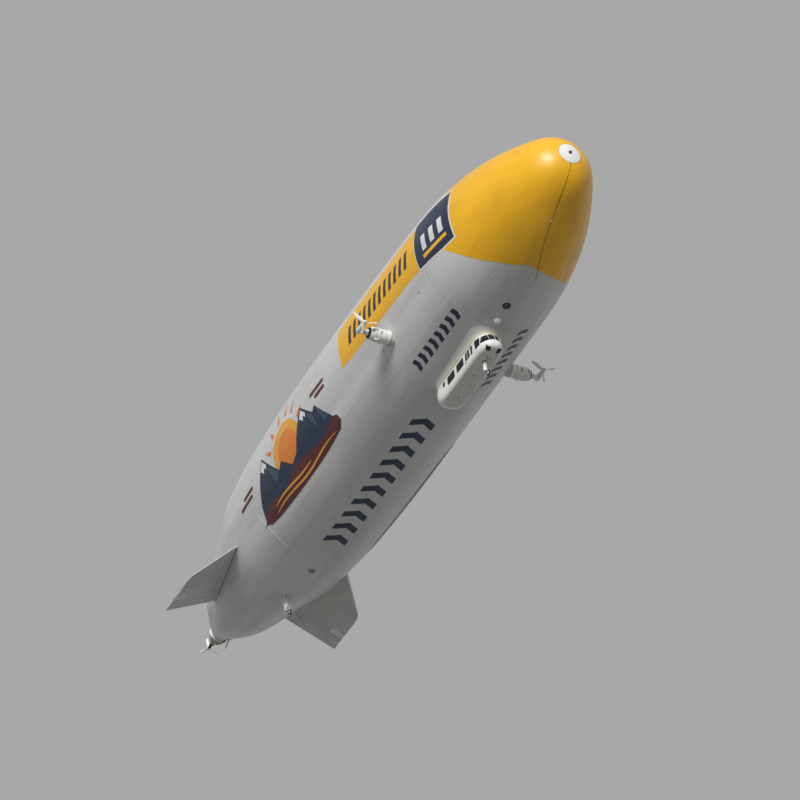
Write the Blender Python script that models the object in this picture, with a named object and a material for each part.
"""A semi-rigid passenger airship at half size, from its nose cone to its tail propellers.

Metres, +Z up, +X to the nose, +Y to port. The origin lies on the hull's axis, at the
middle of its lift. Angles round the hull run from the keel towards starboard.
"""
import math

import bmesh
import bpy
import numpy as np
from mathutils import Matrix, Vector

# Driving dimensions, at half the airship's real size
NOSE_X = 17.0
HULL_LENGTH = 36.15
WALL = 0.010
GAP = 0.0003
SEAT = 0.0004
RUN = 0.008

# The hull's stations: distance from the nose, and mean radius there
HULL_STATIONS = (
    (0.00, 0.00), (0.22, 0.79), (0.72, 1.34), (1.63, 1.83), (2.90, 2.38), (4.70, 2.91),
    (7.20, 3.27), (11.0, 3.38), (15.5, 3.46), (19.9, 3.51), (23.9, 3.43), (27.5, 3.15),
    (30.7, 2.42), (33.3, 1.78), (35.1, 0.96), (HULL_LENGTH, 0.35),
)
LOBE_DEPTH = 0.031
LOBE_START = 0.40
LOBE_END = 0.25
LOBE_TAIL_SHARE = 0.35
CREASE_POWER = 1.25
HULL_RINGS = 24
HULL_SEGMENTS = 36
CAP_RADIUS = 0.48

FIN_ANGLES = {"starboard": math.radians(62), "port": math.radians(-62), "top": math.radians(180)}

# The two engines on the hull's flanks, and the propellers that swivel on their ends
POD_X = 5.70
POD_Z = -1.83
POD_HUB_Y = 4.155
POD_RADIUS = 0.30
PROP_RADIUS = 0.635

# The tail's propellers
STERN_X = NOSE_X - HULL_LENGTH
TAIL_Z = -0.08
TILT_X = -20.0
TAIL_PROP_X = -20.33
TAIL_PROP_RADIUS = 0.55
LATERAL_X = -19.44
LATERAL_Y = 0.60
LATERAL_PROP_RADIUS = 0.50

# The gondola under the hull
GONDOLA_WALL = 0.020
GONDOLA_TOP = -3.56
GONDOLA_BELLY = -4.50
WALL_LOW = -4.43
NOSE_SPLIT = 8.80
TAIL_SPLIT = 5.75
LINER_GAP = 0.0007
FLOOR_TOP = -4.40
FLOOR_THICK = 0.015
FLOOR_END = 9.32
DOOR_X = (8.02, 8.50)
DOOR_Z = (-4.41, -3.64)
DOOR_GAP = 0.005


def clear_scene():
    """Takes out whatever the file opened with."""
    for item in list(bpy.data.objects):
        bpy.data.objects.remove(item, do_unlink=True)


def finish(name, colour, roughness, metallic=0.0):
    """A plain material in the colour of the real surface."""
    item = bpy.data.materials.new(name)
    item.use_nodes = True
    shader = item.node_tree.nodes["Principled BSDF"]
    shader.inputs["Base Color"].default_value = (*colour, 1.0)
    shader.inputs["Roughness"].default_value = roughness
    shader.inputs["Metallic"].default_value = metallic
    return item


def add_object(name, mesh_builder, look):
    """Makes an object from a bmesh, with its faces out and its round faces smooth."""
    bmesh.ops.remove_doubles(mesh_builder, verts=mesh_builder.verts, dist=1e-6)
    bmesh.ops.recalc_face_normals(mesh_builder, faces=mesh_builder.faces)
    mesh = bpy.data.meshes.new(name)
    mesh_builder.to_mesh(mesh)
    mesh_builder.free()
    mesh.materials.append(look)
    mesh.shade_smooth()
    mesh.set_sharp_from_angle(angle=math.radians(35))
    item = bpy.data.objects.new(name, mesh)
    bpy.context.collection.objects.link(item)
    return item


def as_cutter(item):
    """Keeps an object as a tool that shapes others, and isn't part of the airship."""
    item.hide_render = True
    item.display_type = "WIRE"
    return item


def combine(item, tool, operation):
    """Adds an exact Boolean of a tool to an object."""
    step = item.modifiers.new(operation.lower(), "BOOLEAN")
    step.operation = operation
    step.solver = "EXACT"
    step.object = as_cutter(tool)
    return item


def pivot(point, *items):
    """Puts the origins of moving pieces on their joint's axis, and leaves their shapes in place."""
    for item in items:
        item.data.transform(Matrix.Translation(-Vector(point)))
        item.location = point


def loft(name, rings, look, ring_shaped=False):
    """Joins rings of points with like counts into one closed solid, or the last to the first.

    Every quad is split along the same diagonal, so that an offset copy keeps its distance.
    """
    build = bmesh.new()
    loops = [[build.verts.new(point) for point in ring] for ring in rings]
    following = loops[1:] + loops[:1] if ring_shaped else loops[1:]
    for one, two in zip(loops, following):
        for index, vert in enumerate(one):
            after = (index + 1) % len(one)
            build.faces.new((vert, one[after], two[after]))
            build.faces.new((vert, two[after], two[index]))
    if not ring_shaped:
        build.faces.new(loops[0][::-1])
        build.faces.new(loops[-1])
    return add_object(name, build, look)


def turned(name, profile, look, place=Matrix.Identity(4), segments=24):
    """Turns a profile of (distance along Z, radius) round Z, then puts it in place."""
    rings = []
    for height, radius in profile:
        rings.append([place @ Vector((radius * math.cos(turn), radius * math.sin(turn), height))
                      for turn in np.linspace(0, math.tau, segments, endpoint=False)])
    return loft(name, rings, look)


def prism(name, outline, low, high, look, place=Matrix.Identity(4)):
    """Extrudes a flat outline in XY from low to high along Z, then puts it in place."""
    rings = [[place @ Vector((x, y, height)) for x, y in outline] for height in (low, high)]
    return loft(name, rings, look)


def block(name, low, high, look, place=Matrix.Identity(4)):
    """A plain block between two corners."""
    outline = ((low[0], low[1]), (high[0], low[1]), (high[0], high[1]), (low[0], high[1]))
    return prism(name, outline, low[2], high[2], look, place)


def rounded(corners, radius, steps=4):
    """Rounds the corners of a flat outline with arcs."""
    outline = []
    count = len(corners)
    for index, corner in enumerate(corners):
        here = Vector(corner)
        back = (Vector(corners[index - 1]) - here).normalized()
        ahead = (Vector(corners[(index + 1) % count]) - here).normalized()
        half = math.acos(max(-1.0, min(1.0, back.dot(ahead)))) / 2
        reach = radius / math.tan(half)
        centre = here + (back + ahead).normalized() * radius / math.sin(half)
        start = here + back * reach - centre
        end = here + ahead * reach - centre
        sweep = start.angle_signed(end)
        for step in range(steps + 1):
            outline.append(tuple(centre + Matrix.Rotation(-sweep * step / steps, 2) @ start))
    return outline


# Local axes: each matrix turns local Z to a direction of the airship
ALONG_X = Matrix(((0, 0, 1, 0), (1, 0, 0, 0), (0, 1, 0, 0), (0, 0, 0, 1)))
ALONG_Y = Matrix(((0, 1, 0, 0), (0, 0, 1, 0), (1, 0, 0, 0), (0, 0, 0, 1)))


def mean_radius(distance):
    """The hull's mean radius at a distance from the nose, by a monotone cubic through its stations.

    The cubic runs in the root of the distance, which makes the nose round.
    """
    knots = np.sqrt([station[0] for station in HULL_STATIONS])
    radii = np.array([station[1] for station in HULL_STATIONS])
    steps = np.diff(knots)
    rises = np.diff(radii) / steps
    slopes = np.zeros(len(knots))
    slopes[0], slopes[-1] = rises[0], rises[-1]
    for index in range(1, len(knots) - 1):
        before, after = rises[index - 1], rises[index]
        if before * after > 0:
            weight_a = 2 * steps[index] + steps[index - 1]
            weight_b = steps[index] + 2 * steps[index - 1]
            slopes[index] = (weight_a + weight_b) / (weight_a / before + weight_b / after)
    root = math.sqrt(min(max(distance, 0.0), HULL_LENGTH))
    index = min(int(np.searchsorted(knots, root, side="right")) - 1, len(knots) - 2)
    share = (root - knots[index]) / steps[index]
    return float(radii[index] * (1 + 2 * share) * (1 - share) ** 2
                 + radii[index + 1] * share ** 2 * (3 - 2 * share)
                 + slopes[index] * steps[index] * share * (1 - share) ** 2
                 - slopes[index + 1] * steps[index] * share ** 2 * (1 - share))


def lobe_depth(distance):
    """How far the three lobes swell between the longerons, as a share of the radius."""
    share = distance / HULL_LENGTH
    rise = min(share / LOBE_START, 1.0)
    fall = min((1.0 - share) / LOBE_END, 1.0)
    return LOBE_DEPTH * rise * rise * (3 - 2 * rise) * (LOBE_TAIL_SHARE + (1 - LOBE_TAIL_SHARE) * fall)


def hull_radius(distance, angle):
    """The hull's radius at an angle round it: least at the longerons, most between them."""
    swell = 2 * abs(math.cos(1.5 * angle)) ** CREASE_POWER - 1
    return mean_radius(distance) * (1 + lobe_depth(distance) * swell)


def hull_normal(x, angle, step=0.02):
    """The outward direction of the hull's skin along its own meridian, as (x share, radial share)."""
    distance = min(max(NOSE_X - x, 2 * step), HULL_LENGTH - 2 * step)
    slope = (hull_radius(distance + step, angle) - hull_radius(distance - step, angle)) / (2 * step)
    length = math.hypot(1.0, slope)
    return slope / length, 1 / length


def hull_point(x, angle, lift=0.0):
    """A point on the hull's skin, or lifted off it."""
    radius = hull_radius(NOSE_X - x, angle)
    if lift:
        ahead, out = hull_normal(x, angle)
        x, radius = x + lift * ahead, radius + lift * out
    return Vector((x, -radius * math.sin(angle), -radius * math.cos(angle)))


def hull_frame(x, angle):
    """Axes on the hull's skin: Z points out, X forward along the skin."""
    ahead, out = hull_normal(x, angle)
    up = Vector((ahead, -out * math.sin(angle), -out * math.cos(angle)))
    forward = Vector((out, ahead * math.sin(angle), ahead * math.cos(angle)))
    side = up.cross(forward)
    frame = Matrix((forward, side, up)).transposed().to_4x4()
    frame.translation = hull_point(x, angle)
    return frame


def hull_ring(x, lift=0.0):
    """One ring of points round the hull."""
    return [hull_point(x, turn, lift) for turn in np.linspace(0, math.tau, HULL_SEGMENTS, endpoint=False)]


def x_at_radius(radius):
    """Where the nose has a given mean radius."""
    low, high = 0.0, HULL_LENGTH / 2
    for _ in range(50):
        middle = (low + high) / 2
        low, high = (middle, high) if mean_radius(middle) < radius else (low, middle)
    return NOSE_X - low


def hull_places(first, last):
    """The rings' places between two ends, closer together at the nose and the stern."""
    return [first + (last - first) * (1 - math.cos(math.pi * share)) / 2
            for share in np.linspace(0, 1, HULL_RINGS)]


clear_scene()

white = finish("white_laminate", (0.72, 0.73, 0.71), 0.45)
composite = finish("white_composite", (0.80, 0.80, 0.77), 0.30)
beige = finish("belly_composite", (0.42, 0.41, 0.37), 0.45)
dark = finish("dark_metal", (0.05, 0.05, 0.055), 0.5, 0.6)
grey = finish("grey_metal", (0.35, 0.36, 0.37), 0.4, 0.8)
rubber = finish("tyre_rubber", (0.02, 0.02, 0.02), 0.8)
glass = finish("smoked_glazing", (0.03, 0.04, 0.05), 0.08)
fabric = finish("seat_fabric", (0.08, 0.10, 0.16), 0.8)


# The hull's skin: a shell open at the nose, where the cone closes it, and at the stern
cap_edge = x_at_radius(CAP_RADIUS)
skin_places = hull_places(cap_edge - GAP, STERN_X + 0.001)
outer_rings = [hull_ring(x) for x in skin_places]
inner_rings = [hull_ring(x, -WALL) for x in skin_places]
loft("envelope", outer_rings + inner_rings[::-1], white, ring_shaped=True)

# A solid a hair larger than the hull, which shapes every root that sits on it
hull_tool = as_cutter(loft("hull_tool", [hull_ring(x, SEAT) for x in skin_places], white))


def seat_on_hull(item):
    """Cuts the root of a piece to the hull's skin."""
    return combine(item, hull_tool, "DIFFERENCE")


# The nose cone, the white cap over the ring of battens, with the mooring probe at its middle
PAD_X = 16.99
PAD_RADIUS = 0.075
PROBE_RADIUS = 0.045
PROBE_END_RADIUS = 0.03
PROBE_LENGTH = 0.10
cap_rings = [hull_ring(NOSE_X - (NOSE_X - cap_edge) * share ** 2) for share in (1.0, 0.8, 0.6, 0.4)]
pad = [Vector((PAD_X, -PAD_RADIUS * math.sin(turn), -PAD_RADIUS * math.cos(turn)))
       for turn in np.linspace(0, math.tau, HULL_SEGMENTS, endpoint=False)]
loft("nose_cap", [hull_ring(cap_edge, -WALL)] + cap_rings + [pad], composite)
turned("mooring_probe", ((PAD_X + GAP, PROBE_RADIUS), (PAD_X + 0.06, PROBE_RADIUS),
                         (PAD_X + 0.07, PROBE_END_RADIUS), (PAD_X + PROBE_LENGTH, PROBE_END_RADIUS)),
       dark, ALONG_X, 20)

# The stern frame closes the skin's end and carries the tail's machinery
FRAME_DEPTH = 0.04
FRAME_X = STERN_X - FRAME_DEPTH
FRAME_RADIUS = 0.352
FLANGE_RADIUS = 0.435
FLANGE_X = FRAME_X + 0.018
turned("stern_frame", ((FRAME_X, FLANGE_RADIUS), (FLANGE_X, FLANGE_RADIUS), (STERN_X - 0.01, FRAME_RADIUS),
                       (STERN_X + 0.001 - GAP, FRAME_RADIUS)), composite, ALONG_X, HULL_SEGMENTS)

# The tail's cowl: a tapered box, open at the stern frame, with two lugs that hold the tilting gearbox
# Columns: distance behind the stern frame, half width, half height
COWL_SECTIONS = ((0.0, 0.395, 0.33), (0.26, 0.335, 0.30), (0.42, 0.245, 0.235), (0.63, 0.135, 0.135))
COWL_VENTS = ((-19.34, 0.27), (-19.44, 0.25), (-19.54, 0.20))
VENT_LENGTH = 0.045
VENT_RIB = 0.012
LUG_Y = (0.090, 0.118)
LUG_RADIUS = 0.055


def cowl_rings(skin):
    """The cowl's rounded square sections, drawn in by a skin's thickness."""
    rings = []
    for behind, half_width, half_height in COWL_SECTIONS:
        w, h = half_width - skin, half_height - skin
        corner = 0.35 * min(w, h)
        outline = rounded(((-w, -h), (w, -h), (w, h), (-w, h)), corner)
        rings.append([Vector((FRAME_X - GAP - behind, y, z + TAIL_Z)) for y, z in outline])
    return rings


cowl = loft("tail_cowl", cowl_rings(0.0), composite)
hollow = cowl_rings(WALL)
hollow[0] = [point + Vector((0.02, 0, 0)) for point in hollow[0]]
hollow[-1] = [point + Vector((WALL, 0, 0)) for point in hollow[-1]]
combine(cowl, loft("cowl_hollow", hollow, composite), "DIFFERENCE")
for vent_x, reach in COWL_VENTS:
    for inner, outer in ((-reach, -VENT_RIB), (VENT_RIB, reach)):
        combine(cowl, block("cowl_vent", (vent_x - VENT_LENGTH, inner, -0.6), (vent_x, outer, TAIL_Z - 0.17),
                            composite), "DIFFERENCE")
cowl_end = FRAME_X - GAP - COWL_SECTIONS[-1][0]
for side in (1, -1):
    arc = [(TILT_X + LUG_RADIUS * math.cos(turn), LUG_RADIUS * math.sin(turn) + TAIL_Z)
           for turn in np.linspace(math.pi / 2, 3 * math.pi / 2, 9)]
    outline = [(cowl_end + 0.005, TAIL_Z - LUG_RADIUS), (cowl_end + 0.005, TAIL_Z + LUG_RADIUS)] + arc
    low, high = sorted((side * LUG_Y[0], side * LUG_Y[1]))
    place = Matrix(((1, 0, 0, 0), (0, 0, 1, 0), (0, 1, 0, 0), (0, 0, 0, 1)))
    combine(cowl, prism("cowl_lug", outline, low, high, composite, place), "UNION")
cowl_tool = as_cutter(loft("cowl_tool", cowl_rings(-SEAT), composite))
ENGINE_HALF = 0.19
block("tail_engine", (FRAME_X - 2 * GAP - 0.30, -ENGINE_HALF, TAIL_Z - ENGINE_HALF),
      (FRAME_X - GAP, ENGINE_HALF, TAIL_Z + ENGINE_HALF), grey)


def fin_place(angle):
    """Turns fin axes (X along the hull, Y outward, Z through the thickness) to the airship's."""
    outward = Vector((0, -math.sin(angle), -math.cos(angle)))
    through = Vector((1, 0, 0)).cross(outward)
    return Matrix((Vector((1, 0, 0)), outward, through)).transposed().to_4x4()


# A fin's outline in (x, radius): leading edge, hinge line and trailing edge, root to tip
FIN_TIP = 4.77
FIN_BASE = 1.90
LEADING_EDGE = ((-10.40, 2.92), (-11.30, 3.68), (-12.10, 4.33), (-12.34, 4.53), (-12.55, 4.68),
                (-12.85, 4.755), (-13.20, FIN_TIP))
HINGE_ROOT = (-14.923, 2.30)
HINGE_TIP = (-14.59, FIN_TIP - 0.01)
TRAILING_ROOT = (-15.563, 2.15)
TRAILING_TIP = (-15.36, FIN_TIP)
# The fixed plate under the rudder's root: (x, radius in the hull, radius at its free edge, half thickness)
ROOT_PLATE = ((-14.80, 1.9, 2.28, 0.055), (-15.30, 1.8, 2.197, 0.030), (-15.575, 1.7, 2.132, 0.010))
FIN_THICKNESS = (0.100, 0.050)
HINGE_HALF = (0.060, 0.034)
LUG_SHARES = (0.12, 0.50, 0.88)
LUG_HALF = 0.016
LUG_REACH = 0.030
LUG_THICK = 0.022
# Shares of the chord from the leading edge, and of the half thickness there
FIN_SECTION = ((0.0, 0.10), (0.008, 0.30), (0.03, 0.52), (0.09, 0.78), (0.22, 0.98), (0.40, 1.0),
               (0.70, 0.85), (1.0, 0.62))


def blend(one, two, share):
    """A value or a flat point part of the way from one to another."""
    return tuple(a + (b - a) * share for a, b in zip(one, two))


def plate(name, rows, look, place):
    """A closed plate from rows of (x, y, half thickness), with the same count in each row."""
    build = bmesh.new()
    sides = []
    for sign in (1, -1):
        sides.append([[build.verts.new(place @ Vector((x, y, sign * half))) for x, y, half in row]
                      for row in rows])
    top, under = sides
    last, end = len(rows) - 1, len(rows[0]) - 1
    for grid in (top, under):
        for row in range(last):
            for index in range(end):
                build.faces.new((grid[row][index], grid[row][index + 1],
                                 grid[row + 1][index + 1], grid[row + 1][index]))
    for row in range(last):
        for index in (0, end):
            build.faces.new((top[row][index], top[row + 1][index], under[row + 1][index], under[row][index]))
    for index in range(end):
        for row in (0, last):
            build.faces.new((top[row][index], top[row][index + 1], under[row][index + 1], under[row][index]))
    return add_object(name, build, look)


def hinge_axes(place):
    """The hinge line's axes in the airship: X aft from the hinge, Y along it, Z through the fin."""
    along = (Vector(HINGE_TIP) - Vector(HINGE_ROOT)).normalized()
    aft = Vector((-along.y, along.x))
    local = Matrix(((aft.x, along.x, 0, HINGE_ROOT[0]), (aft.y, along.y, 0, HINGE_ROOT[1]),
                    (0, 0, -1, 0), (0, 0, 0, 1)))
    return place @ local, (Vector(HINGE_TIP) - Vector(HINGE_ROOT)).length


def make_fin(side):
    """A fixed fin with its hinge lugs, and the rudder that swings on them."""
    place = fin_place(FIN_ANGLES[side])
    axes, hinge_length = hinge_axes(place)
    along = (Vector(HINGE_TIP) - Vector(HINGE_ROOT)).normalized()
    aft = Vector((-along.y, along.x))
    base = Vector(HINGE_ROOT) + along * (FIN_BASE - HINGE_ROOT[1]) / along.y
    rows = []
    for index, lead in enumerate(LEADING_EDGE):
        share = ((lead[1] - LEADING_EDGE[0][1]) / (FIN_TIP - LEADING_EDGE[0][1]))
        thick = FIN_THICKNESS[0] + (FIN_THICKNESS[1] - FIN_THICKNESS[0]) * share
        nose = HINGE_HALF[0] + (HINGE_HALF[1] - HINGE_HALF[0]) * share
        hinge = blend(base, HINGE_TIP, share)
        rear = (hinge[0] - aft.x * (nose + RUN), hinge[1] - aft.y * (nose + RUN))
        row = []
        for chord, depth in FIN_SECTION:
            x, y = blend(lead, rear, chord)
            row.append((x, y, max(thick * depth, 0.004) if chord < 1 else nose))
        rows.append(row)
    fin = plate("fin_" + side, rows, white, place)
    root = plate("fin_root", ([(x, low, half) for x, low, high, half in ROOT_PLATE],
                              [(x, high, half) for x, low, high, half in ROOT_PLATE]), white, place)
    combine(fin, root, "UNION")
    rudder_rows = []
    for share in (0.0, 0.33, 0.66, 1.0):
        half = HINGE_HALF[0] + (HINGE_HALF[1] - HINGE_HALF[0]) * share
        hinge = blend(HINGE_ROOT, HINGE_TIP, share)
        tail = blend(TRAILING_ROOT, TRAILING_TIP, share)
        row = [(hinge[0] - aft.x * half * math.sin(turn), hinge[1] - aft.y * half * math.sin(turn),
                max(half * math.cos(turn), 0.003)) for turn in np.radians((90, 60, 30, 0))]
        row += [(*blend(hinge, tail, 0.5), half * 0.55), (*tail, 0.006)]
        rudder_rows.append(row)
    rudder = plate("rudder_" + side, rudder_rows, white, place)
    for share in LUG_SHARES:
        middle = hinge_length * share
        nose = HINGE_HALF[0] + (HINGE_HALF[1] - HINGE_HALF[0]) * share
        lug = block("hinge_lug", (-nose - RUN - 0.02, middle - LUG_HALF, -LUG_THICK),
                    (LUG_REACH, middle + LUG_HALF, LUG_THICK), grey, axes)
        combine(fin, lug, "UNION")
        slot = block("hinge_slot", (-0.1, middle - LUG_HALF - GAP, -0.2),
                     (LUG_REACH + 0.025, middle + LUG_HALF + GAP, 0.2), grey, axes)
        combine(rudder, slot, "DIFFERENCE")
    pivot(place @ Vector((*HINGE_ROOT, 0)), rudder)
    seat_on_hull(fin)


for side in FIN_ANGLES:
    make_fin(side)


# Propellers: a hub with blades, from (share of the radius, chord, twist in degrees, thickness)
BLADE_SECTIONS = ((0.08, 0.070, 60, 0.020), (0.30, 0.15, 42, 0.018), (0.60, 0.155, 28, 0.012),
                  (0.88, 0.125, 20, 0.008), (1.0, 0.07, 18, 0.005))
HUB_DEPTH = 0.09


def propeller(name, radius, hub_radius, place, turn, look, chord_share=1.0):
    """A three-bladed propeller whose hub stands on local Z = 0 and faces along local Z."""
    hub = turned(name, ((0.0, hub_radius), (HUB_DEPTH, hub_radius)), look, place, 20)
    for blade in range(3):
        spin = Matrix.Rotation(turn + blade * math.tau / 3, 4, "Z")
        rings = []
        for share, chord, twist, thick in BLADE_SECTIONS:
            half, tilt = chord * chord_share / 2, math.radians(twist)
            ring = []
            for along, across in ((-1, 0.15), (-0.5, 0.85), (0.2, 1), (1, 0.1),
                                  (1, -0.1), (0.2, -0.6), (-0.5, -0.55), (-1, -0.15)):
                flat = Matrix.Rotation(-tilt, 2) @ Vector((along * half, across * thick))
                ring.append(place @ spin @ Vector((radius * share, flat.x, HUB_DEPTH / 2 + flat.y)))
            rings.append(ring)
        combine(hub, loft("blade", rings, look), "UNION")
    return hub


def spinner(name, radius, length, place, look):
    """The pointed cap on a propeller's hub."""
    profile = [(HUB_DEPTH + GAP + length * math.sin(turn), max(radius * math.cos(turn), 0.004))
               for turn in np.radians((0, 30, 60, 85))]
    return turned(name, profile, look, place, 20)


# The flank engines: a round cowl out from the hull with the engine in it, and the swivelling gearbox
# Columns: distance from the airship's middle, radius
POD_WALL = 0.012
POD_CEILING = 3.64
NECK_END = 3.92
POD_PROFILE = ((2.50, POD_RADIUS), (3.50, POD_RADIUS), (3.62, 0.285), (3.71, 0.245), (3.76, 0.20),
               (3.78, 0.135), (NECK_END, 0.115))
POD_HOLLOW = ((2.40, POD_RADIUS - POD_WALL), (3.50, POD_RADIUS - POD_WALL), (POD_CEILING, 0.262))
GEARBOX_PROFILE = ((5.50, 0.012), (5.54, 0.065), (5.62, 0.105), (5.72, 0.120), (5.88, 0.115),
                   (6.05, 0.098), (6.18, 0.078))
POD_ENGINE_HALF = 0.17
# The scoop under each cowl: its outline in (distance from the middle, depth under the cowl's axis)
SCOOP = ((3.26, 0.27), (3.52, 0.27), (3.52, 0.345), (3.47, 0.36), (3.40, 0.345))
SCOOP_HALF = 0.055
SIDE_BLADE_TURN = {"starboard": math.radians(15), "port": math.radians(27)}
for side, sign in (("starboard", -1), ("port", 1)):
    out = Matrix(((0, 1, 0, POD_X), (0, 0, sign, 0), (1, 0, 0, POD_Z), (0, 0, 0, 1)))
    pod = turned("nacelle_" + side, POD_PROFILE, composite, out)
    down = Matrix(((0, 0, 1, POD_X + 0.06), (sign, 0, 0, 0), (0, -1, 0, POD_Z), (0, 0, 0, 1)))
    combine(pod, prism("scoop", SCOOP, -SCOOP_HALF, SCOOP_HALF, composite, down), "UNION")
    combine(pod, turned("pod_hollow", POD_HOLLOW, composite, out), "DIFFERENCE")
    mouth = (3.46, 0.305), (3.60, 0.305), (3.60, 0.335), (3.46, 0.335)
    combine(pod, prism("scoop_mouth", mouth, -SCOOP_HALF + 0.012, SCOOP_HALF - 0.012, composite, down),
            "DIFFERENCE")
    seat_on_hull(pod)
    block("engine_" + side, (-POD_ENGINE_HALF, -POD_ENGINE_HALF, 3.02),
          (POD_ENGINE_HALF, POD_ENGINE_HALF, POD_CEILING - GAP), grey, out)
    forward = Matrix.Translation((0, sign * POD_HUB_Y, POD_Z)) @ ALONG_X
    gearbox = turned("swivel_gearbox_" + side, GEARBOX_PROFILE, composite, forward)
    combine(gearbox, turned("gearbox_neck", ((NECK_END + GAP, 0.100), (POD_HUB_Y, 0.100)), composite, out),
            "UNION")
    nose = Matrix.Translation((6.18 + GAP, 0, 0)) @ forward
    pivot((POD_X, sign * POD_HUB_Y, POD_Z), gearbox)
    blades = propeller("propeller_" + side, PROP_RADIUS, 0.075, nose, SIDE_BLADE_TURN[side], composite)
    pivot(nose.translation, blades, spinner("spinner_" + side, 0.075, 0.11, nose, composite))

# The tail's tilting gearbox between the cowl's lugs, with the pusher propeller
BARREL_RADIUS = 0.055
TAIL_BLADE_TURN = math.radians(83)
backwards = Matrix.Rotation(math.pi, 4, "Z") @ ALONG_X
gearbox = turned("tail_gearbox", ((-TILT_X - 0.015, 0.060), (-TILT_X + 0.06, 0.070), (-TAIL_PROP_X, 0.055)),
                 dark, Matrix.Translation((0, 0, TAIL_Z)) @ backwards)
barrel_place = Matrix.Translation((TILT_X, 0, TAIL_Z)) @ ALONG_Y
combine(gearbox, turned("tilt_barrel", ((-LUG_Y[0] + GAP, BARREL_RADIUS), (LUG_Y[0] - GAP, BARREL_RADIUS)),
                        dark, barrel_place, 24), "UNION")
pivot((TILT_X, 0, TAIL_Z), gearbox)
astern = Matrix.Translation((TAIL_PROP_X - GAP, 0, TAIL_Z)) @ backwards
blades = propeller("tail_propeller", TAIL_PROP_RADIUS, 0.055, astern, TAIL_BLADE_TURN, composite, 0.75)
pivot(astern.translation, blades, spinner("tail_spinner", 0.055, 0.11, astern, composite))

# The lateral propeller on its fixed gearbox, to port of the cowl
sideways = Matrix.Translation((LATERAL_X, 0, 0)) @ ALONG_Y
arm = turned("lateral_gearbox", ((0.20, 0.090), (0.36, 0.075), (LATERAL_Y, 0.050)), dark, sideways)
combine(arm, cowl_tool, "DIFFERENCE")
outboard = Matrix.Translation((LATERAL_X, LATERAL_Y + GAP, 0)) @ ALONG_Y
blades = propeller("lateral_propeller", LATERAL_PROP_RADIUS, 0.050, outboard, 0.0, composite, 0.7)
pivot(outboard.translation, blades, spinner("lateral_spinner", 0.050, 0.08, outboard, composite))


# The gondola's tub: level height, half width, front end, rear end
GONDOLA_LEVELS = (
    (GONDOLA_TOP, 0.535, 9.42, 5.10), (-3.70, 0.555, 9.52, 5.05), (-3.85, 0.5625, 9.62, 5.02),
    (-4.05, 0.5625, 9.72, 5.02), (-4.20, 0.560, 9.77, 5.06), (-4.32, 0.540, 9.76, 5.14),
    (-4.42, 0.490, 9.70, 5.27), (-4.475, 0.440, 9.62, 5.40), (GONDOLA_BELLY, 0.380, 9.50, 5.55),
)
NOSE_ROUND = 0.85
TAIL_ROUND = 0.62
ROUND_POWER = 2.3


def plan_loop(half_width, front, rear, height, grow=0.0):
    """The gondola's outline at one height: straight sides with a rounded nose and tail."""
    loop = []
    half, front, rear = half_width + grow, front + grow, rear - grow
    shift = 2 / ROUND_POWER
    for turn in np.linspace(-math.pi / 2, math.pi / 2, 17):
        x = front - NOSE_ROUND * (1 - abs(math.cos(turn)) ** shift)
        y = half * math.copysign(abs(math.sin(turn)) ** shift, turn)
        loop.append(Vector((x, y, height)))
    for x in (8.2, 7.2, 6.2):
        loop.append(Vector((x, half, height)))
    for turn in np.linspace(math.pi / 2, 3 * math.pi / 2, 13):
        x = rear + TAIL_ROUND * (1 - abs(math.cos(turn)) ** shift)
        y = half * math.copysign(abs(math.sin(turn)) ** shift, math.sin(turn))
        loop.append(Vector((x, y, height)))
    for x in (6.2, 7.2, 8.2):
        loop.append(Vector((x, -half, height)))
    return loop


def tub_levels(skin):
    """The tub's outlines from the top down, drawn in along the wall's own slope."""
    loops = []
    for index, (height, half, front, rear) in enumerate(GONDOLA_LEVELS):
        above = GONDOLA_LEVELS[max(index - 1, 0)]
        below = GONDOLA_LEVELS[min(index + 1, len(GONDOLA_LEVELS) - 1)]
        fall = Vector((below[1] - above[1], below[0] - above[0])).normalized()
        flat = 1.0 if index == 0 else -fall.y
        drop = 0.0 if index == 0 else -fall.x
        loops.append(plan_loop(half - skin * flat, front - skin * flat, rear + skin * flat,
                               height + skin * drop))
    lowest = GONDOLA_LEVELS[-1]
    loops[-1] = plan_loop(lowest[1] - skin * 0.45, lowest[2] - skin * 0.45, lowest[3] + skin * 0.45,
                          lowest[0] + skin)
    return loops


def tub(name, outside, inside, look):
    """A tub with a wall between two depths below its outer skin, open at the top."""
    build = bmesh.new()
    skins = [[[build.verts.new(point) for point in ring] for ring in tub_levels(depth)]
             for depth in (outside, inside)]
    for loops in skins:
        for one, two in zip(loops, loops[1:]):
            for index, vert in enumerate(one):
                after = (index + 1) % len(one)
                build.faces.new((vert, one[after], two[after]))
                build.faces.new((vert, two[after], two[index]))
        build.faces.new(loops[-1])
    outer_rim, inner_rim = skins[0][0], skins[1][0]
    for index, vert in enumerate(outer_rim):
        after = (index + 1) % len(outer_rim)
        build.faces.new((vert, outer_rim[after], inner_rim[after], inner_rim[index]))
    return add_object(name, build, look)


def tub_solid(name, skin, look):
    """The whole tub as one solid."""
    return loft(name, tub_levels(skin), look)


SIDEWAYS = Matrix(((1, 0, 0, 0), (0, 0, 1, 0), (0, 1, 0, 0), (0, 0, 0, 1)))
AHEAD = Matrix(((0, 0, 1, 0), (1, 0, 0, 0), (0, 1, 0, 0), (0, 0, 0, 1)))

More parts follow.
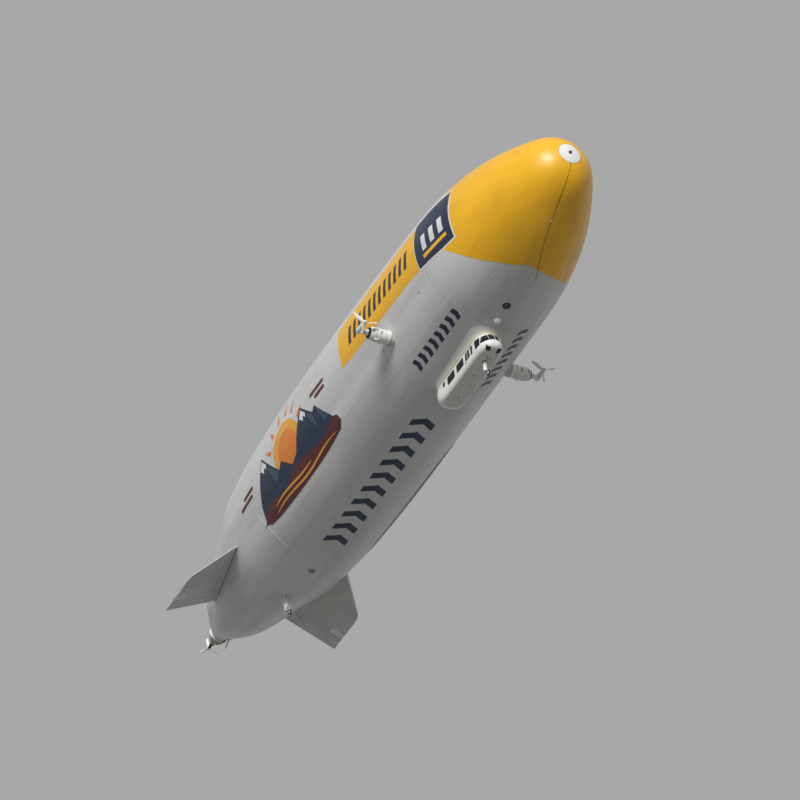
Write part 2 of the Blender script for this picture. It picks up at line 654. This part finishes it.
# The windows, as outlines in (x, z) on the walls
WINDOW_TOP, WINDOW_LOW = -3.825, -4.205
WALL_WINDOWS = {
    "cabin_front": ((7.28, WINDOW_TOP), (7.85, WINDOW_TOP), (7.90, WINDOW_LOW), (7.32, WINDOW_LOW)),
    "cabin_rear": ((6.43, WINDOW_TOP), (7.02, WINDOW_TOP), (7.07, WINDOW_LOW), (6.47, WINDOW_LOW)),
    "cabin_tail": ((6.02, -3.80), (6.15, -3.80), (6.15, -4.02), (6.02, -4.02)),
}
THIN_WINDOW = ((8.57, -3.78), (8.70, -3.82), (8.70, -4.24), (8.60, -4.20))
DOOR_WINDOW = ((8.09, -3.80), (8.41, -3.80), (8.43, -4.20), (8.11, -4.20))
COCKPIT_WINDOW = ((8.92, -3.78), (9.22, -3.82), (9.28, -4.18), (9.02, -4.24))
WINDSCREEN = ((-0.60, -3.88), (-0.42, -3.82), (0.0, -3.72), (0.42, -3.82), (0.60, -3.88),
              (0.60, -4.16), (0.42, -4.16), (0.0, -4.09), (-0.42, -4.16), (-0.60, -4.16))
WINDSCREEN_REAR = 9.35
CHIN_WINDOW = ((9.42, 0.17), (9.60, 0.17), (9.53, 0.34), (9.41, 0.28))
CORNER = 0.045
LINER = 0.006


def shrink(corners, amount):
    """Draws a convex outline in by an amount on every side."""
    middle = Vector((sum(c[0] for c in corners), sum(c[1] for c in corners))) / len(corners)
    drawn = []
    for corner in corners:
        away = Vector(corner) - middle
        drawn.append(tuple(Vector(corner) - Vector((math.copysign(amount, away.x),
                                                    math.copysign(amount, away.y)))))
    return drawn


def side_tool(name, corners, side, amount=0.0, radius=CORNER):
    """A tool through one wall, in the shape of a window."""
    low, high = (0.0, 1.0) if side == "port" else (-1.0, 0.0)
    return prism(name, rounded(shrink(corners, amount), radius), low, high, glass, SIDEWAYS)


def front_tool(amount=0.0):
    """A tool through the nose, in the shape of the windscreen."""
    outline = [(y, z - math.copysign(amount, z - (-3.97))) for y, z in WINDSCREEN]
    return prism("windscreen_tool", outline, WINDSCREEN_REAR + amount, 10.5, glass, AHEAD)


def chin_tool(side, amount=0.0):
    """A tool through the chin, in the shape of the window by the pilot's feet."""
    sign = 1 if side == "port" else -1
    outline = [(x, sign * y) for x, y in shrink(CHIN_WINDOW, amount)]
    return prism("chin_tool", outline, -4.7, -4.30, glass)


def door_outline(amount):
    """The doorway's outline in (x, z), drawn in by an amount."""
    return rounded(shrink(((DOOR_X[0], DOOR_Z[1]), (DOOR_X[1], DOOR_Z[1]), (DOOR_X[1], DOOR_Z[0]),
                           (DOOR_X[0], DOOR_Z[0])), amount), 0.07)


# The gondola's five shells, each cut from the tub at the seams between the real panels
half = GAP / 2
SHELLS = {
    "gondola_nose": ((NOSE_SPLIT + half, -1, -5), (10.5, 1, -3)),
    "gondola_wall_starboard": ((TAIL_SPLIT + half, -1, WALL_LOW + half), (NOSE_SPLIT - half, 0, -3)),
    "gondola_wall_port": ((TAIL_SPLIT + half, 0, WALL_LOW + half), (NOSE_SPLIT - half, 1, -3)),
    "gondola_tail": ((4, -1, -5), (TAIL_SPLIT - half, 1, -3)),
    "gondola_belly": ((TAIL_SPLIT + half, -1, -5), (NOSE_SPLIT - half, 1, WALL_LOW - half)),
}
shells = {}
for name, (low, high) in SHELLS.items():
    shells[name] = tub(name, 0.0, GONDOLA_WALL, composite)
    combine(shells[name], block(name + "_part", low, high, white), "INTERSECT")
for side in ("starboard", "port"):
    wall = shells["gondola_wall_" + side]
    for name, corners in WALL_WINDOWS.items():
        combine(wall, side_tool(name, corners, side), "DIFFERENCE")
    combine(wall, side_tool("thin_window", THIN_WINDOW, side, 0, 0.025), "DIFFERENCE")
    combine(shells["gondola_nose"], side_tool("cockpit_window", COCKPIT_WINDOW, side), "DIFFERENCE")
    combine(shells["gondola_nose"], chin_tool(side), "DIFFERENCE")
combine(shells["gondola_nose"], front_tool(), "DIFFERENCE")
combine(shells["gondola_wall_starboard"],
        prism("doorway", door_outline(0.0), -1.0, 0.0, white, SIDEWAYS), "DIFFERENCE")
combine(shells["gondola_wall_port"], side_tool("door_window", DOOR_WINDOW, "port"), "DIFFERENCE")

# The passenger door, hinged at its front edge on two lugs that stand just outside the wall
door = tub("passenger_door", 0.0, GONDOLA_WALL, composite)
combine(door, prism("door_part", door_outline(DOOR_GAP), -1.0, 0.0, white, SIDEWAYS), "INTERSECT")
combine(door, side_tool("door_window_cut", DOOR_WINDOW, "starboard"), "DIFFERENCE")
HINGE_X = DOOR_X[1] - DOOR_GAP / 2
HINGE_Y = -0.5725
HINGE_HEIGHTS = (-3.80, -4.14)
HINGE_DEPTH = 0.03
HINGE_ROUND = 0.009
for height in HINGE_HEIGHTS:
    barrel = Matrix.Translation((HINGE_X, HINGE_Y, height))
    knuckle = turned("door_knuckle", ((0.0, HINGE_ROUND), (HINGE_DEPTH, HINGE_ROUND)), grey, barrel, 16)
    combine(door, knuckle, "UNION")
    strap = block("door_strap", (-0.05, 0.0, 0.0), (0.0, 0.018, HINGE_DEPTH), grey, barrel)
    combine(door, strap, "UNION")
    fixed = turned("wall_knuckle", ((-HINGE_DEPTH, HINGE_ROUND), (-GAP, HINGE_ROUND)), grey, barrel, 16)
    combine(shells["gondola_wall_starboard"], fixed, "UNION")
    fixed_strap = block("wall_strap", (0.0, 0.0, -HINGE_DEPTH), (0.05, 0.018, -GAP), grey, barrel)
    combine(shells["gondola_wall_starboard"], fixed_strap, "UNION")

# The glazing: a clear liner behind each shell, with panes that fill its windows
PANE_FRONT = 0.004


def glazing(name, low, high, tools, chin=None):
    """A liner inside the wall between two corners, with a pane for each window's tool."""
    liner = tub(name, GONDOLA_WALL + LINER_GAP, GONDOLA_WALL + LINER, glass)
    part = block(name + "_part", low, high, glass)
    if chin:
        combine(part, block(name + "_chin", *chin, glass), "UNION")
    combine(liner, part, "INTERSECT")
    for index, tool in enumerate(tools):
        pane = tub(name + "_pane", PANE_FRONT, GONDOLA_WALL + LINER / 2, glass)
        combine(pane, tool, "INTERSECT")
        combine(liner, pane, "UNION")
    return liner


for side, sign in (("starboard", -1), ("port", 1)):
    tools = [side_tool(name + "_pane_tool", corners, side, GAP) for name, corners in WALL_WINDOWS.items()]
    far = NOSE_SPLIT - 0.02 if side == "port" else DOOR_X[0] - 0.03
    if side == "port":
        tools.append(side_tool("thin_pane_tool", THIN_WINDOW, side, GAP, 0.025))
        tools.append(side_tool("door_pane_tool", DOOR_WINDOW, side, GAP))
    low, high = sorted((sign * 0.3, sign * 0.7))
    glazing(side + "_glazing", (5.90, low, -4.26), (far, high, -3.74), tools)
glazing("entry_glazing", (DOOR_X[1] + 0.02, -0.7, -4.28), (NOSE_SPLIT - 0.02, -0.3, -3.74),
        [side_tool("entry_pane_tool", THIN_WINDOW, "starboard", GAP, 0.025)])
door_pane = glazing("door_glazing", (DOOR_X[0] + 0.03, -0.7, -4.25), (DOOR_X[1] - 0.03, -0.3, -3.75),
                    [side_tool("door_pane", DOOR_WINDOW, "starboard", GAP)])
pivot((HINGE_X, HINGE_Y, HINGE_HEIGHTS[1]), door, door_pane)
cockpit_tools = [front_tool(GAP)]
for side in ("starboard", "port"):
    cockpit_tools.append(side_tool("cockpit_pane", COCKPIT_WINDOW, side, GAP))
    cockpit_tools.append(chin_tool(side, GAP))
glazing("cockpit_glazing", (NOSE_SPLIT + 0.02, -0.7, -4.30), (10.5, 0.7, -3.62), cockpit_tools,
        ((FLOOR_END + 0.02, -0.7, -4.475), (10.5, 0.7, -4.29)))

# The fairing over the gondola: its roof, and the skirt that flares out to the hull
# Columns: height, growth beyond the gondola's top outline
SKIRT = ((-3.63, 0.030), (-3.58, 0.040), (-3.52, 0.065), (-3.46, 0.105), (-3.40, 0.150), (-3.20, 0.30))
top_level = GONDOLA_LEVELS[0]
skirt_rings = [plan_loop(*top_level[1:], height, grow) for height, grow in SKIRT]
fairing = loft("gondola_fairing", skirt_rings, composite)
combine(fairing, tub_solid("tub_tool", -SEAT, white), "DIFFERENCE")
seat_on_hull(fairing)

# The cabin: a floor, two rows of seats on plinths, the pilots' seats and the instrument panel
floor = tub_solid("cabin_floor", GONDOLA_WALL + LINER_GAP, beige)
combine(floor, block("floor_part", (5.0, -1, FLOOR_TOP - FLOOR_THICK), (FLOOR_END, 1, FLOOR_TOP), white),
        "INTERSECT")
SEAT_PITCH = 0.38
SEAT_FIRST = 5.96
SEAT_ROWS = 6
PLINTH = 0.03


def seat_outline(x):
    """One seat from the side: cushion and leaning back, above its plinth."""
    return ((x - 0.12, PLINTH), (x - 0.17, 0.48), (x - 0.13, 0.50), (x - 0.07, 0.22), (x + 0.13, 0.23),
            (x + 0.14, 0.18), (x + 0.03, 0.15), (x + 0.03, PLINTH))


def seat_row(name, places, y, width):
    """A row of seats on one plinth, drawn from the side and extruded across."""
    rear, front = places[0] - 0.16, places[-1] + 0.15
    outline = [(rear, 0.0), (rear, PLINTH)]
    for x in places:
        outline += seat_outline(x)
    outline += [(front, PLINTH), (front, 0.0)]
    outline = [(x, height + FLOOR_TOP + GAP) for x, height in outline]
    return prism(name, outline, y - width / 2, y + width / 2, fabric, SIDEWAYS)


seat_places = [SEAT_FIRST + SEAT_PITCH * step for step in range(SEAT_ROWS)]
for side, sign in (("starboard", -1), ("port", 1)):
    seat_row("seats_" + side, seat_places, sign * 0.27, 0.23)
    seat_row("pilot_seat_" + side, [8.78], sign * 0.21, 0.24)
panel_outline = ((9.12, 0.30), (9.22, 0.34), (9.30, 0.34), (9.30, 0.0), (9.18, 0.0))
prism("instrument_panel", [(x, z + FLOOR_TOP + GAP) for x, z in panel_outline], -0.26, 0.26, dark, SIDEWAYS)

# Small round fittings on the keel line: (place along the hull, angle, radius, height, how domed)
FITTINGS = {
    "belly_vent": (10.86, 0.0, 0.17, 0.025, 0.75, dark),
    "belly_dome": (10.00, 0.0, 0.17, 0.15, 0.0, composite),
    "gas_valve": (-8.55, 0.0, 0.16, 0.030, 0.7, grey),
    "air_valve": (-8.99, -11.6, 0.13, 0.025, 0.7, grey),
}
for name, (x, angle, radius, height, flat, look) in FITTINGS.items():
    frame = hull_frame(x, math.radians(angle))
    profile = [(-0.06, radius)]
    for turn in np.radians((0, 25, 50, 70, 85)):
        profile.append((height * math.sin(turn), radius * (flat + (1 - flat) * math.cos(turn))))
    seat_on_hull(turned(name, profile, look, frame, 28))


# The landing gear: a faired leg, a castering half fork, and a wheel with its tyre
TYRE_CLEAR = 0.008
FORK_RADIUS = 0.045
ARM_Y = (0.004, 0.030)
WHEEL_Y = 0.085
WHEEL_TRAIL = 0.10


def strut(name, foot, head, radius):
    """A round strut between two points."""
    foot, head = Vector(foot), Vector(head)
    place = Matrix.Translation(foot) @ (head - foot).to_track_quat("Z", "Y").to_matrix().to_4x4()
    return turned(name, ((0.0, radius), ((head - foot).length, radius)), composite, place, 10)


def landing_gear(end, leg_x, top, hub_z, tyre_radius, sections):
    """One leg with its fork and wheel. The wheel stands ahead and to port of the leg's line.

    The leg's sections are (share of its height from the top, length, width).
    """
    ankle = hub_z + tyre_radius + TYRE_CLEAR
    rings = []
    for share, length, width in sections:
        height = top + (ankle - top) * share
        rings.append([Vector((leg_x + length / 2 * math.cos(turn), width / 2 * math.sin(turn), height))
                      for turn in np.linspace(0, math.tau, 20, endpoint=False)])
    leg = loft(end + "_leg", rings, composite)
    fork_top = ankle - GAP
    hub_x = leg_x + WHEEL_TRAIL
    fork = turned(end + "_fork", ((fork_top - 0.05, FORK_RADIUS), (fork_top, FORK_RADIUS)), grey,
                  Matrix.Translation((leg_x, 0, 0)), 20)
    arm_outline = rounded(((leg_x - 0.03, fork_top - 0.002), (leg_x + 0.03, fork_top - 0.002),
                           (hub_x + 0.035, hub_z - 0.03), (hub_x - 0.035, hub_z - 0.03)), 0.012)
    combine(fork, prism("fork_arm", arm_outline, *ARM_Y, grey, SIDEWAYS), "UNION")
    axle = Matrix.Translation((hub_x, WHEEL_Y, hub_z)) @ ALONG_Y
    rim = tyre_radius * 0.52
    wheel = turned(end + "_wheel", ((ARM_Y[1] + GAP - WHEEL_Y, 0.022), (-0.03, 0.030), (-0.028, rim),
                                    (0.028, rim), (0.022, 0.030), (0.034, 0.022)), composite, axle)
    half, depth = tyre_radius * 0.30, tyre_radius - rim
    section = [(-half * 0.75, rim + GAP)]
    section += [(half * math.sin(turn), rim + depth * (0.45 + 0.55 * math.cos(turn)))
                for turn in np.radians((-90, -60, -22, 22, 60, 90))]
    section += [(half * 0.75, rim + GAP)]
    tyre = loft(end + "_tyre", [[axle @ Vector((r * math.cos(turn), r * math.sin(turn), across))
                                 for across, r in section]
                                for turn in np.linspace(0, math.tau, 32, endpoint=False)],
                rubber, ring_shaped=True)
    pivot((leg_x, 0, fork_top), fork)
    pivot(axle.translation, wheel, tyre)
    return leg


FRONT_SECTIONS = ((0.0, 0.17, 0.11), (0.22, 0.225, 0.155), (0.75, 0.225, 0.17), (1.0, 0.20, 0.16))
REAR_SECTIONS = ((0.0, 0.14, 0.085), (0.80, 0.14, 0.085), (0.86, 0.15, 0.12), (1.0, 0.13, 0.12))
REAR_X = -11.28
REAR_BRACE_FOOT_Z = -3.775
REAR_BRACE_HEADS = ((-0.24, 0.34), (0.24, 0.34))
landing_gear("front", 8.69, GONDOLA_BELLY - GAP, -5.115, 0.130, FRONT_SECTIONS)
rear_leg = landing_gear("rear", REAR_X, -2.90, -3.94, 0.120, REAR_SECTIONS)
for ahead, aside in REAR_BRACE_HEADS:
    for sign in (-1, 1):
        brace = strut("rear_brace", (REAR_X, sign * 0.02, REAR_BRACE_FOOT_Z),
                      (REAR_X + ahead, sign * aside, -2.90), 0.020)
        combine(rear_leg, brace, "UNION")
seat_on_hull(rear_leg)
